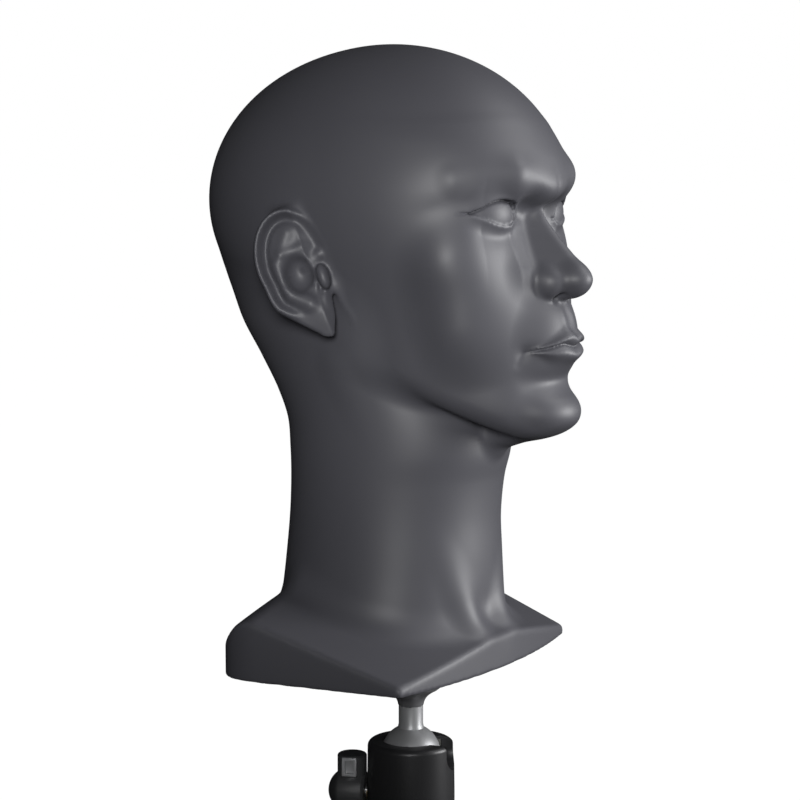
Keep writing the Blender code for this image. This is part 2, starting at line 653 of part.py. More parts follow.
def floor_outline():
    """Outline of the floor plate: the shell's opening, taken where it is narrowest."""
    heights = np.array([0.0, FLOOR_THICKNESS + 1.0])
    radii = np.arange(140.0, 0.0, -0.25)
    outline = []
    for i in range(FLOOR_POINTS):
        angle = 2.0 * math.pi * (i + 0.5) / FLOOR_POINTS
        z, r = np.meshgrid(heights, radii, indexing="ij")
        room = hollow_field(r * math.cos(angle), r * math.sin(angle), z) + FLOOR_FIT
        radius = min(radii[np.argmax(row < 0.0)] for row in room)
        outline.append((radius * math.cos(angle), radius * math.sin(angle)))
    return outline


def screw_profile(radii, heights, clearance=0.0):
    """Outline of a screw, or of its hole when a clearance is given.

    radii are those of the shank and the head; heights run tip, under the head, top.
    """
    shank_r, head_r = (r + clearance for r in radii)
    tip, seat, top = heights
    reach = math.copysign(clearance, top - tip)
    return [(0.0, tip - reach), (shank_r, tip - reach), (shank_r, seat - reach),
            (head_r, seat - reach), (head_r, top + reach), (0.0, top + reach)]


def build_screws(name, material, targets, spots, radii, heights):
    """Stands a screw at each (x, y) spot and cuts its hole in the pieces it passes through."""
    for i, (x, y) in enumerate(spots, 1):
        frame = Matrix.Translation((x, y, BUST_Z))
        profile = screw_profile(radii, heights)
        revolved(f"{name}_{i}", profile, material, SCREW_SEGMENTS, frame=frame)
        hole = screw_profile(radii, heights, GAP)
        tool = revolved(f"{name}_{i}_tool", hole, None, SCREW_SEGMENTS, frame=frame)
        for target in targets[i - 1]:
            apply_tool(target, tool)


def build_bust_floor(materials):
    """Flush floor plate, its threaded socket, and the screws that hold both."""
    lift = Matrix.Translation((0.0, 0.0, BUST_Z))
    bm = bmesh.new()
    add_prism(bm, floor_outline(), 0.0, FLOOR_THICKNESS)
    floor = link_mesh("bust_floor", bm, materials["grey_board"], lift)

    barrel_r, flange_r = 10.0, 17.0
    flange_bottom = FLOOR_THICKNESS + GAP
    flange_top = flange_bottom + 2.4
    apply_tool(floor, cylinder_tool("floor_socket_tool", barrel_r + GAP, -5.0, 15.0, lift, 24))
    profile = [(0.0, 14.0), (STUD_R + GAP, 14.0), (STUD_R + GAP, 0.2), (barrel_r, 0.2),
               (barrel_r, flange_bottom), (flange_r, flange_bottom), (flange_r, flange_top),
               (8.0, flange_top), (8.0, 16.0), (0.0, 16.0)]
    socket = revolved("thread_socket", profile, materials["steel"], 32, frame=lift)

    turns = [math.pi * (0.25 + 2.0 * i / SOCKET_SCREW_COUNT) for i in range(SOCKET_SCREW_COUNT)]
    spots = [(SOCKET_SCREW_PITCH_R * math.cos(a), SOCKET_SCREW_PITCH_R * math.sin(a))
             for a in turns]
    build_screws("socket_screw", materials["steel"], [(floor, socket)] * len(spots), spots,
                 (1.5, 2.6), (1.0, flange_top + GAP, flange_top + 1.9))

    half = 6.0
    square = [(-half, -half), (half, -half), (half, half), (-half, half)]
    blocks = []
    for i, (x, y) in enumerate(FLOOR_SCREW_SPOTS, 1):
        bm = bmesh.new()
        add_prism(bm, square, flange_bottom, 12.5)
        frame = Matrix.Translation((x, y, BUST_Z))
        blocks.append(link_mesh(f"floor_block_{i}", bm, materials["grey_board"], frame))
    build_screws("floor_screw", materials["steel"], [(floor, block) for block in blocks],
                 FLOOR_SCREW_SPOTS, (1.8, 3.4), (10.0, 2.8, 0.5))


def make_materials():
    return {
        "charcoal_plastic": make_material("charcoal_plastic", (0.035, 0.036, 0.04), 0.45),
        "black_aluminium": make_material("black_aluminium", (0.02, 0.02, 0.022), 0.4, 0.6),
        "grey_aluminium": make_material("grey_aluminium", (0.2, 0.2, 0.21), 0.4, 0.9),
        "aluminium": make_material("aluminium", (0.6, 0.6, 0.62), 0.4, 1.0),
        "satin_steel": make_material("satin_steel", (0.55, 0.56, 0.58), 0.3, 1.0),
        "steel": make_material("steel", (0.45, 0.45, 0.46), 0.35, 1.0),
        "brass": make_material("brass", (0.7, 0.52, 0.22), 0.35, 1.0),
        "black_plastic": make_material("black_plastic", (0.03, 0.03, 0.032), 0.5),
        "white_nylon": make_material("white_nylon", (0.8, 0.8, 0.76), 0.5),
        "rubber": make_material("rubber", (0.02, 0.02, 0.02), 0.8),
        "grey_board": make_material("grey_board", (0.25, 0.25, 0.26), 0.6),
    }


def main():
    clear_scene()
    materials = make_materials()
    build_base(materials)
    build_housing(materials)
    build_clamp(materials)
    build_lock_knob(materials)
    build_pan_lock(materials)
    build_ball(materials)
    build_head_shell(materials)
    build_bust_floor(materials)
    for obj in bpy.data.objects:
        obj.location.y += PAN_AXIS_Y * MM


main()
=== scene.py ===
"""Looks for the display mannequin head on its ball head.

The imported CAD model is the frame: every piece below rides on one of its bodies, and
its place comes from the frame's own boxes.  Forms are worked out in millimetres and
scaled to metres when a mesh is made.
"""

import json
import math

import bmesh
import bpy
import numpy as np
from mathutils import Matrix, Vector


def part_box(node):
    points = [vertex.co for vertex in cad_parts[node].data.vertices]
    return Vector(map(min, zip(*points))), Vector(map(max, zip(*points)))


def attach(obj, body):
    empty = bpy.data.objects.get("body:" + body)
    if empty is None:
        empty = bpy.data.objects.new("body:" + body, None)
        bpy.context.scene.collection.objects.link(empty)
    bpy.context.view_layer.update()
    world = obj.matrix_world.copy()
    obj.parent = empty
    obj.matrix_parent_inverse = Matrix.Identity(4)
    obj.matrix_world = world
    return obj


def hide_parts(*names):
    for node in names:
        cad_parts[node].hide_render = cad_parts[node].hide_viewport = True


MM = 0.001

# ---------------------------------------------------------------- camera and light
VIEW_TURN = math.radians(58.0)       # from the face's direction to the camera
VIEW_DROP = math.radians(6.35)       # the camera looks slightly down
VIEW_DISTANCE = 1.2
VIEW_TARGET_HEIGHT = 0.1473          # above the bust's underside
VIEW_TARGET_SIDE = -0.0063
LENS = 94.7

# light: (place beside the middle of the head, power in watts)
KEY_LIGHT = ((0.87, -1.51, 0.15), 33.0)
TOP_LIGHT = ((0.6, -1.05, 1.25), 9.0)
SIDE_SPOT = ((-1.3, -0.75, 0.3), 85.0)
SPOT_TARGET = (-0.07, -0.03, 0.03)   # the cheek beside the middle of the head
SPOT_ANGLE = math.radians(24.0)
PANEL_SIDE = 0.8
HEAD_MIDDLE_HEIGHT = 0.3
FLOOR_RADIUS = 60.0
FLOOR_DROP = 0.1                     # lets the head swing down past the seat

# ---------------------------------------------------------------- form of the bust
# lengths in millimetres from the bust's underside and the stem's axis, face towards -Y
COLLAR_HALF_WIDTH = 100.6
COLLAR_FRONT = -62.5
COLLAR_BACK = 65.0
SHELL_WALL = 6.0
ROOM_TOP = 60.0                      # the room inside the shell ends at this height

# outlines: (height, Y) or (height, half width)
FACE_FRONT = ((118.0, -72.0), (128.0, -88.0), (145.0, -95.0), (163.0, -93.0), (190.0, -93.5),
              (207.0, -91.0), (218.0, -86.5), (232.0, -80.0), (246.0, -75.0), (256.0, -74.0),
              (268.0, -80.0), (282.0, -82.5), (300.0, -69.5))
FACE_HALF_WIDTH = ((118.0, 40.0), (140.0, 51.0), (165.0, 57.5), (190.0, 60.5), (215.0, 64.5),
                   (240.0, 69.0), (265.0, 70.0), (300.0, 60.0))
NECK_FRONT = ((0.0, -50.0), (60.0, -49.5), (87.0, -50.0), (105.0, -52.5), (122.0, -57.0),
              (150.0, -52.0), (175.0, -35.0))
NECK_BACK = ((0.0, 80.0), (55.0, 74.0), (90.0, 71.0), (120.0, 71.0), (138.0, 73.0),
             (152.0, 79.5), (172.0, 92.5), (193.0, 107.0), (213.0, 115.5), (235.0, 120.5))
NECK_HALF_WIDTH = ((0.0, 66.0), (30.0, 64.0), (55.0, 60.5), (90.0, 58.0), (120.0, 58.0),
                   (150.0, 59.0), (172.0, 61.0), (193.0, 63.0), (213.0, 62.0), (235.0, 58.0))

# rounded forms: (centre, radii); bars: (x, y, z, radius) at each end; X is measured from the
# midplane, so each form stands on both sides
CRANIUM = ((0.0, 13.7, 262.0), (77.0, 107.0, 86.0))
CROWN = ((0.0, 35.2, 260.5), (73.0, 91.6, 78.5))
UPPER_CHEEK = ((40.0, -54.0, 228.0), (25.0, 18.5, 23.0))
LOWER_CHEEK = ((33.0, -58.0, 200.0), (25.0, 18.0, 30.0))
CHIN = ((0.0, -87.5, 146.0), (23.0, 17.5, 13.5))
MUZZLE = ((0.0, -78.5, 186.0), (27.0, 24.0, 31.0))
BROW_INNER, BROW_ARCH, BROW_OUTER = ((3.0, -84.0, 269.0, 6.0), (27.0, -80.0, 275.0, 5.5),
                                     (52.0, -58.0, 272.0, 3.0))
NOSE_FOOT = ((12.0, -70.0, 242.0, 5.0), (14.5, -79.0, 222.0, 8.0))
THROAT = ((0.0, -85.0, 143.0, 11.0), (0.0, -59.0, 133.5, 12.0))
NECK_BAND = ((50.0, 12.0, 172.0, 6.0), (14.0, -47.0, 22.0, 5.5))

# forms in the eye's own coordinates: towards its outer corner, out of the face, up
EYE_PLACE = (35.5, -71.0, 253.5)
EYE_TURN = math.radians(23.5)
LID_FOLD = ((1.0, -9.0, 13.0), (19.0, 13.5, 11.0))
LIDS = ((0.5, -6.5, 1.5), (17.5, 13.6, 12.5))
EYEBALL = ((0.0, -7.1, 0.5), (19.0, 13.5, 15.5))
UPPER_LID = ((-14.5, -2.5), (-14.2, 2.5), (-12.6, 6.0), (-8.5, 7.7), (-3.0, 8.3), (3.0, 6.9),
             (9.5, 3.8), (15.5, 1.5))
LOWER_LID = ((-14.5, -2.5), (-13.0, -4.2), (-8.5, -5.2), (-1.0, -4.4), (8.0, -1.4), (15.5, 1.1))

# (distance from the midplane, height)
MOUTH_SLIT = ((0.0, 182.6), (4.0, 183.4), (9.0, 184.6), (16.0, 183.2), (24.0, 181.0), (30.0, 179.0))
LIP_TOP = ((0.0, 191.3), (4.5, 193.4), (10.0, 190.6), (16.0, 187.2), (24.0, 182.8), (30.0, 180.0))
LIP_BOTTOM = ((0.0, 172.6), (8.0, 173.2), (16.0, 175.6), (24.0, 179.4), (30.0, 178.0))

# (height, Y)
NOSE_RIDGE = ((204.0, -101.0), (212.0, -107.0), (219.0, -111.5), (225.0, -109.0), (238.0, -98.0),
              (246.0, -90.8), (254.0, -85.2), (262.0, -84.0))
NOSE_SLOPE = math.radians(32.0)      # of its side planes, from the midplane
NOSE_TIP = ((0.0, -103.5, 218.5), (9.0, 9.4, 8.4))
NOSE_WING = ((11.5, -91.5, 217.0), (6.2, 9.5, 8.5))
NOSE_COLUMN = ((0.0, -103.0, 214.0, 3.5), (0.0, -94.0, 211.5, 3.5))
NOSTRIL = ((7.6, -99.5, 209.0), (2.8, 5.5, 3.2))

EAR_PLACE = (79.0, 18.0, 223.0)
EAR_LEAN = math.radians(22.0)
EAR_FLARE = math.radians(24.0)

# in the ear's own coordinates: out of its plane, towards its back edge, towards its top
EAR_BOWL = ((5.0, 3.0, -0.5), (9.5, 8.0, 10.5))
EAR_NOTCH = ((4.0, -1.0, -10.0, 3.4), (5.0, -5.0, -15.5, 2.2))
TRAGUS = ((0.6, -8.5, -5.5), (4.4, 3.4, 7.0))
EAR_CRUS = ((-1.5, -10.0, 7.0, 2.4), (-4.5, 0.0, 3.0, 1.6))

# ---------------------------------------------------------------- form of the ball head
HOUSING_TURN = math.radians(-70.0)   # the drop notch points this way, from +X
BALL_RADIUS = 17.2
ROUND_SEGMENTS = 96
SHARP_ANGLE = math.radians(32.0)


def blend_min(a, b, reach):
    """Union of two distance fields with a fillet of the given reach."""
    share = np.clip(0.5 + 0.5 * (b - a) / reach, 0.0, 1.0)
    return b * (1.0 - share) + a * share - reach * share * (1.0 - share)


def blend_max(a, b, reach):
    """Common part of two distance fields with a rounded edge of the given reach."""
    return -blend_min(-a, -b, reach)


def ellipsoid(x, y, z, centre, radii):
    """Near its surface, the distance to an ellipsoid."""
    px, py, pz = ((p - c) / r for p, c, r in zip((x, y, z), centre, radii))
    scaled = np.sqrt(px * px + py * py + pz * pz)
    slope = np.sqrt((px / radii[0]) ** 2 + (py / radii[1]) ** 2 + (pz / radii[2]) ** 2)
    return scaled * (scaled - 1.0) / np.maximum(slope, 1e-6)


def round_cone(x, y, z, start, end):
    """Distance to a bar; each end is (x, y, z, radius)."""
    span = [e - s for s, e in zip(start[:3], end[:3])]
    length_sq = sum(s * s for s in span)
    along = sum((p - s) * d for p, s, d in zip((x, y, z), start, span))
    t = np.clip(along / length_sq, 0.0, 1.0)
    off = [p - s - t * d for p, s, d in zip((x, y, z), start, span)]
    radius = start[3] + (end[3] - start[3]) * t
    return np.sqrt(off[0] ** 2 + off[1] ** 2 + off[2] ** 2) - radius


def egg_section(x, y, middle, half, front, back, power):
    """Distance to a level egg-shaped outline, whose sizes may vary with height."""
    reach = np.where(y < middle, middle - front, back - middle)
    grown = (np.abs(x) / half) ** power + (np.abs(y - middle) / reach) ** power
    grown = np.maximum(grown, 1e-9) ** (1.0 / power)
    radial = np.sqrt(x * x + (y - middle) ** 2)
    inside = -0.7 * np.minimum(half, reach)
    return np.where(grown > 0.3, radial - radial / np.maximum(grown, 0.3), inside)


def outline_curve(z, points):
    """Smooth curve through (position, value) points."""
    places = np.array([p[0] for p in points])
    values = np.array([p[1] for p in points])
    slopes = np.gradient(values, places)
    z = np.clip(z, places[0], places[-1])
    i = np.clip(np.searchsorted(places, z) - 1, 0, len(places) - 2)
    step = places[i + 1] - places[i]
    t = (z - places[i]) / step
    return ((1 + 2 * t) * (1 - t) ** 2 * values[i] + t * (1 - t) ** 2 * step * slopes[i]
            + t * t * (3 - 2 * t) * values[i + 1] + t * t * (t - 1) * step * slopes[i + 1])


def swell(*terms):
    """Bell-shaped weight from (offset, reach) pairs."""
    total = sum((offset / reach) ** 2 for offset, reach in terms)
    return np.exp(-total)


def crease(a, b, start, end, width):
    """Weight that is one along a straight line in a plane and dies away beside it."""
    span = (end[0] - start[0], end[1] - start[1])
    t = ((a - start[0]) * span[0] + (b - start[1]) * span[1]) / (span[0] ** 2 + span[1] ** 2)
    t = np.clip(t, 0.0, 1.0)
    off = np.hypot(a - start[0] - t * span[0], b - start[1] - t * span[1])
    return np.exp(-(off / width) ** 2)


def under_brow(side, y, z):
    """Cut under the brow: its edge rises from the nose outwards and fades at the temple."""
    outward = np.clip((side - 12.0) / 14.0, 0.0, 1.0)
    edge_y, edge_z = -94.5 + 0.0105 * side ** 2, 268.0 + 4.5 * outward
    slope = 1.7 - 1.15 * outward
    fade = 1.6 * np.maximum(side - 46.0, 0.0)
    return (edge_y + (edge_z - z) * slope - y - fade) * 0.45


def skull_field(x, y, z):
    """Cranium, face block and jaw without features."""
    side = np.abs(x)
    skull = blend_min(ellipsoid(x, y, z, *CRANIUM), ellipsoid(x, y, z, *CROWN), 8.0)
    skull = blend_max(skull, under_brow(side, y, z), 5.0)
    front = outline_curve(z, FACE_FRONT)
    half = outline_curve(z, FACE_HALF_WIDTH)
    face = egg_section(x, y, -8.0, half, front, 45.0, 2.35)
    jaw_underside = (161.0 + (y + 7.0) * 0.41 + 0.1 * side - z) * 0.92
    face = blend_max(face, jaw_underside, 12.0)
    face = blend_max(face, z - 296.0, 10.0)
    return blend_min(skull, face, 14.0)


def neck_field(x, y, z):
    """The neck's egg-shaped column, whose outlines change with height."""
    front = outline_curve(z, NECK_FRONT)
    back = outline_curve(z, NECK_BACK)
    half = outline_curve(z, NECK_HALF_WIDTH)
    column = egg_section(x, y, 8.0, half, front, back, 2.1)
    return blend_max(column, z - 232.0, 12.0)


def collar_outline(x, y):
    """Distance to the upright cuts that end the bust at the sides, front and back."""
    front = (COLLAR_FRONT + 11.0 * (x / 90.0) ** 2) - y
    side = (np.abs(x) - COLLAR_HALF_WIDTH - 0.147 * y) * 0.99
    back = y - COLLAR_BACK
    return blend_max(blend_max(front, side, 2.0), back, 30.0)


def collar_top(x, y, z):
    """Distance over the sloping top of the shoulders, highest along the back."""
    arch = 21.0 * (1.0 - (np.abs(x) / COLLAR_HALF_WIDTH) ** 1.4)
    rising = 21.0 + 0.36 * y + arch
    falling = 88.0 + 0.9 * arch - 1.15 * y
    return (z - blend_min(rising, falling, 14.0)) * 0.85


def neck_muscles(bust, x, y, z):
    """Bands from behind the ears to the sternum, and the pit between them."""
    side = np.abs(x)
    bust = blend_min(bust, round_cone(side, y, z, *NECK_BAND), 12.0)
    return bust + 2.0 * swell((x, 10.0), (y + 60.0, 16.0), (z - 32.0, 14.0))


def plain_bust_field(x, y, z, muscles=False):
    """Head, neck and collar without features; negative inside."""
    outline = collar_outline(x, y)
    bust = blend_min(skull_field(x, y, z), neck_field(x, y, z), 10.0)
    collar = blend_max(collar_top(x, y, z), outline, 3.0)
    bust = blend_min(bust, collar, 13.0)
    if muscles:
        bust = neck_muscles(bust, x, y, z)
    above = np.maximum(z - 40.0, 0.0)
    leaning_cut = outline - above * (0.3 + 0.02 * above)
    return blend_max(bust, leaning_cut, 1.2)


# ---------------------------------------------------------------- features of the face
def eye_axes(side, y, z):
    """Coordinates in an eye: towards its outer corner, out of the face, up."""
    dx, dy = side - EYE_PLACE[0], y - EYE_PLACE[1]
    cos_t, sin_t = math.cos(EYE_TURN), math.sin(EYE_TURN)
    return dx * cos_t + dy * sin_t, dx * sin_t - dy * cos_t, z - EYE_PLACE[2]


def add_brow_and_socket(bust, side, y, z):
    """The cheek, the brow, the foot of the nose, the lid's fold and the hollow beside the nose."""
    across, out, up = eye_axes(side, y, z)
    upper_cheek = ellipsoid(side, y, z, *UPPER_CHEEK)
    lower_cheek = ellipsoid(side, y, z, *LOWER_CHEEK)
    bust = blend_min(bust, blend_min(upper_cheek, lower_cheek, 14.0), 16.0)
    inner = round_cone(side, y, z, BROW_INNER, BROW_ARCH)
    outer = round_cone(side, y, z, BROW_ARCH, BROW_OUTER)
    bust = blend_min(bust, blend_min(inner, outer, 6.0), 10.0)
    bust = blend_min(bust, round_cone(side, y, z, *NOSE_FOOT), 15.0)
    bust = blend_min(bust, ellipsoid(across, out, up, *LID_FOLD), 6.0)
    return bust + 2.0 * swell((side - 16.0, 6.5), (z - 258.0, 8.5))


def add_eye(bust, side, y, z):
    """A full upper lid with its crease, a blank eyeball and a lower lid."""
    across, out, up = eye_axes(side, y, z)
    bust = blend_min(bust, ellipsoid(across, out, up, *LIDS), 6.0)
    upper = outline_curve(across, UPPER_LID)
    lower = outline_curve(across, LOWER_LID)
    opening = np.maximum(up - upper, lower - up) * 0.85
    opening = np.maximum(opening, 1.0 - out)
    bust = blend_max(bust, -opening, 0.8)
    bust = blend_min(bust, ellipsoid(across, out, up, *EYEBALL), 0.3)

    # a sunken line over the eye, a faint rim under it and the soft hollow of the lower lid
    ends = np.clip((17.0 - np.abs(across)) / 3.0, 0.0, 1.0)
    near = np.clip((out + 4.0) / 2.0, 0.0, 1.0) * ends
    bust = bust + 1.1 * near * np.exp(-((up - upper + 0.2) / 0.8) ** 2)
    bust = bust - 0.2 * near * np.exp(-((up - lower + 1.0) / 1.8) ** 2)
    return bust + 0.4 * swell((across + 3.0, 11.0), (up + 11.5, 4.5), (out - 4.0, 9.0))


def add_nose(bust, side, y, z):
    """A wedge between two side planes, with a round tip, wings and nostrils."""
    ahead = outline_curve(z, NOSE_RIDGE) - y
    ridge_half = 1.5 + 1.5 * np.clip((250.0 - z) / 30.0, 0.0, 1.0)
    flank = (side - ridge_half) * math.cos(NOSE_SLOPE) + ahead * math.sin(NOSE_SLOPE)
    wedge = blend_max(flank, ahead * 0.8, 3.5)
    underside = (208.5 - (y + 98.0) * 0.35 - z) * 0.9
    wedge = blend_max(wedge, underside, 4.0)
    wedge = blend_max(wedge, (z - 266.0) * 0.9, 8.0)
    wedge = blend_min(wedge, ellipsoid(side, y, z, *NOSE_TIP), 6.0)
    wedge = blend_min(wedge, ellipsoid(side, y, z, *NOSE_WING), 5.5)
    bust = blend_min(bust, wedge, 2.6)
    bust = blend_min(bust, round_cone(side, y, z, *NOSE_COLUMN), 2.5)
    return blend_max(bust, -ellipsoid(side, y, z, *NOSTRIL), 1.6)


def add_mouth(bust, side, y, z):
    """Two full lips round a sunken slit, the groove under the nose and the hollow below."""
    upper_fullness, lower_fullness, slit_depth, slit_width = 4.3, 4.6, 1.6, 0.9
    bust = blend_min(bust, ellipsoid(side, y, z, *MUZZLE), 9.0)
    bust = bust + 2.0 * swell((side, 21.0), (z - 165.0, 5.0))
    slit = outline_curve(side, MOUTH_SLIT)
    top = outline_curve(side, LIP_TOP)
    bottom = outline_curve(side, LIP_BOTTOM)
    taper = np.clip(1.0 - (side / 27.0) ** 2, 0.0, 1.0)
    upper = np.clip((z - slit) / np.maximum(top - slit, 1.0), -1.0, 2.0)
    lower = np.clip((slit - z) / np.maximum(slit - bottom, 1.0), -1.0, 2.0)
    bust = bust - upper_fullness * taper * np.exp(-((upper - 0.45) / 0.42) ** 2)
    bust = bust - lower_fullness * taper * np.exp(-((lower - 0.48) / 0.42) ** 2)
    reach = np.clip((28.0 - side) / 5.0, 0.0, 1.0)
    bust = bust + slit_depth * reach * np.exp(-((z - slit) / slit_width) ** 2)

    # the corner with its crease, then the groove under the nose between its two ridges
    bust = bust + 1.2 * swell((side - 26.5, 5.0), (z - 180.5, 5.0))
    bust = bust + 0.5 * crease(side, z, (26.5, 181.0), (29.0, 174.0), 2.4)
    bust = bust + 0.7 * swell((side, 3.0), (z - 200.0, 6.0))
    return bust - 0.4 * swell((side - 5.5, 2.6), (z - 198.5, 6.0))


def add_face(bust, x, y, z):
    """All the features of the face; they are worked out for one side and mirrored."""
    side = np.abs(x)
    bust = add_brow_and_socket(bust, side, y, z)
    bust = blend_min(bust, ellipsoid(side, y, z, *CHIN), 9.0)
    bust = blend_min(bust, round_cone(side, y, z, *THROAT), 8.0)
    under_chin = blend_max((z - 131.5 + 0.3 * (y + 90.0)) * 0.95, y + 63.0, 4.0)
    bust = blend_max(bust, -under_chin, 6.0)
    bust = add_mouth(bust, side, y, z)
    bust = add_eye(bust, side, y, z)
    return add_nose(bust, side, y, z)


# ---------------------------------------------------------------- ears
def ear_axes(side, y, z):
    """Coordinates in an ear: towards its back edge, out of its plane, towards its top."""
    dx, dy, dz = side - EAR_PLACE[0], y - EAR_PLACE[1], z - EAR_PLACE[2]
    along = dz * math.cos(EAR_LEAN) + dy * math.sin(EAR_LEAN)
    back = dy * math.cos(EAR_LEAN) - dz * math.sin(EAR_LEAN)
    depth = dx * math.cos(EAR_FLARE) - back * math.sin(EAR_FLARE)
    back = back * math.cos(EAR_FLARE) + dx * math.sin(EAR_FLARE)
    return back, depth, along


def ear_outline(back, along):
    """Distance to the ear's outline in its own plane."""
    px, py = (back - 4.0) / 21.5, (along - 8.0) / 29.5
    scaled = np.sqrt(px * px + py * py)
    slope = np.sqrt((px / 21.5) ** 2 + (py / 29.5) ** 2)
    upper = scaled * (scaled - 1.0) / np.maximum(slope, 1e-6)
    lobe = round_cone(back, along, 0.0, (7.0, -9.0, 0.0, 16.0), (-3.0, -30.5, 0.0, 8.0))
    return blend_min(upper, lobe, 5.0)


def ear_relief(back, along, inset):
    """Height of the ear's folds over its plane."""
    lower_front = np.clip((-5.0 - back) / 4.0, 0.0, 1.0) * np.clip((8.0 - along) / 8.0, 0.0, 1.0)
    helix = np.clip((along + 24.0) / 14.0, 0.0, 1.0) * (1.0 - lower_front)
    relief = helix * (3.2 * np.exp(-((inset - 2.2) / 2.2) ** 2)
                      - 2.4 * np.exp(-((inset - 6.8) / 2.2) ** 2))
    relief += 2.2 * crease(back, along, (3.0, -17.0), (11.0, -10.0), 4.2)
    relief += 2.4 * crease(back, along, (13.5, -5.0), (13.5, 8.0), 4.0)
    relief += 1.8 * crease(back, along, (10.0, 14.0), (3.0, 23.0), 4.2)
    relief += 1.2 * crease(back, along, (9.0, 12.5), (-5.0, 13.5), 3.0)
    return relief + 1.2 * np.exp(-((back + 3.0) / 8.0) ** 2 - ((along + 28.0) / 8.0) ** 2)


def add_ears(bust, x, y, z):
    """The leaning plate of the ear with its folds, then its bowl, tragus and crus."""
    back, depth, along = ear_axes(np.abs(x), y, z)
    outline = ear_outline(back, along)
    sunk = 0.9 * np.maximum(-3.0 - back, 0.0) + 0.25 * np.maximum(-20.0 - along, 0.0)
    front = depth - 2.4 + sunk - ear_relief(back, along, -outline)
    rear = -depth - 3.6 - 8.0 * swell((back - 3.0, 11.0), (along, 16.0))
    ear = blend_max(blend_max(front * 0.7, outline, 2.4), rear * 0.8, 2.0)
    bust = blend_min(bust, ear, 7.0)
    bust = blend_max(bust, -ellipsoid(depth, back, along, *EAR_BOWL), 2.0)
    bust = blend_max(bust, -round_cone(depth, back, along, *EAR_NOTCH), 2.0)
    bust = blend_min(bust, ellipsoid(depth, back, along, *TRAGUS), 2.2)
    return blend_min(bust, round_cone(depth, back, along, *EAR_CRUS), 3.0)


# ---------------------------------------------------------------- field to mesh
def refine_where(bust, mask, feature, x, y, z):
    """Applies a feature only to the points it can reach."""
    bust[mask] = feature(bust[mask], x[mask], y[mask], z[mask])
    return bust


def bust_field(x, y, z):
    """The whole bust with its face and ears; negative inside."""
    bust = plain_bust_field(x, y, z, muscles=True)
    face = (y < -30.0) & (z > 110.0) & (z < 305.0)
    bust = refine_where(bust, face, add_face, x, y, z)
    ears = (np.abs(x) > 50.0) & (z > 165.0) & (z < 285.0) & (y > -35.0) & (y < 85.0)
    return refine_where(bust, ears, add_ears, x, y, z)


def shell_field(x, y, z):
    """The shell: the bust less the room inside it, ending in its flat underside."""
    outer = blend_max(bust_field(x, y, z), -z, 1.5)
    room = np.maximum(plain_bust_field(x, y, z) + SHELL_WALL, z - ROOM_TOP)
    return np.maximum(outer, -room)


def graded_axis(start, *bands):
    """Lattice positions from (end, step) bands."""
    places = [np.array([start])]
    for end, step in bands:
        count = max(1, round((end - start) / step))
        places.append(np.linspace(start, end, count + 1)[1:])
        start = end
    return np.concatenate(places)


def lattice_values(field, axes, coarse=3):
    """A field on a lattice, worked out exactly only near its surface."""
    shape = tuple(len(a) for a in axes)
    sparse = [a[::coarse] for a in axes]
    grids = np.meshgrid(*sparse, indexing="ij")
    rough = field(*(g.ravel() for g in grids)).reshape(grids[0].shape)
    spans = np.meshgrid(*(np.gradient(a) for a in sparse), indexing="ij")
    near = np.abs(rough) < 1.15 * np.sqrt(sum(s * s for s in spans)) + 1.5
    nearest = [np.clip((np.arange(n) + coarse // 2) // coarse, 0, len(s) - 1)
               for n, s in zip(shape, sparse)]
    pick = np.ix_(*nearest)
    values, wanted = rough[pick], near[pick]
    i, j, k = np.nonzero(wanted)
    values[i, j, k] = field(axes[0][i], axes[1][j], axes[2][k])
    return values


def cells_around(edges, axis):
    """The four lattice cells that share each edge, in order round it."""
    second, third = np.eye(3, dtype=int)[(axis + 1) % 3], np.eye(3, dtype=int)[(axis + 2) % 3]
    return [edges - second - third, edges - third, edges, edges - second]


def surface_net(field, axes):
    """Quads round a field's zero surface: one point in each lattice cell that it crosses."""
    values = lattice_values(field, axes)
    cells = tuple(n - 1 for n in values.shape)
    total, count = np.zeros(cells + (3,)), np.zeros(cells)
    crossings = []
    for axis in range(3):
        near = np.take(values, range(values.shape[axis] - 1), axis)
        far = np.take(values, range(1, values.shape[axis]), axis)
        edges = np.argwhere((near < 0.0) != (far < 0.0))
        a, b = near[tuple(edges.T)], far[tuple(edges.T)]
        place = edges.astype(float)
        place[:, axis] += a / (a - b)
        around = cells_around(edges, axis)
        for cell in around:
            np.add.at(total, tuple(cell.T), place)
            np.add.at(count, tuple(cell.T), 1.0)
        crossings.append((around, a < 0.0))
    used = count > 0.0
    index = np.cumsum(used).reshape(cells) - 1
    spots = total[used] / count[used][:, None]
    points = np.stack([np.interp(spots[:, i], np.arange(len(axes[i])), axes[i])
                       for i in range(3)], axis=1)
    quads = []
    for around, leaving in crossings:
        quad = np.stack([index[tuple(cell.T)] for cell in around], axis=1)
        quads.append(np.where(leaving[:, None], quad, quad[:, ::-1]))
    return points, np.concatenate(quads)


def settle(points, field, rounds=2, probe=0.25, furthest=0.5):
    """Moves points onto the field's zero surface."""
    for _ in range(rounds):
        value = field(*points.T)
        slope = np.empty_like(points)
        for i in range(3):
            step = np.zeros(3)
            step[i] = probe
            slope[:, i] = (field(*(points + step).T) - field(*(points - step).T)) / (2 * probe)
        size = np.maximum((slope ** 2).sum(1), 0.05)
        move = -(value / size)[:, None] * slope
        length = np.linalg.norm(move, axis=1, keepdims=True)
        points = points + move * np.minimum(1.0, furthest / np.maximum(length, 1e-9))
    return points


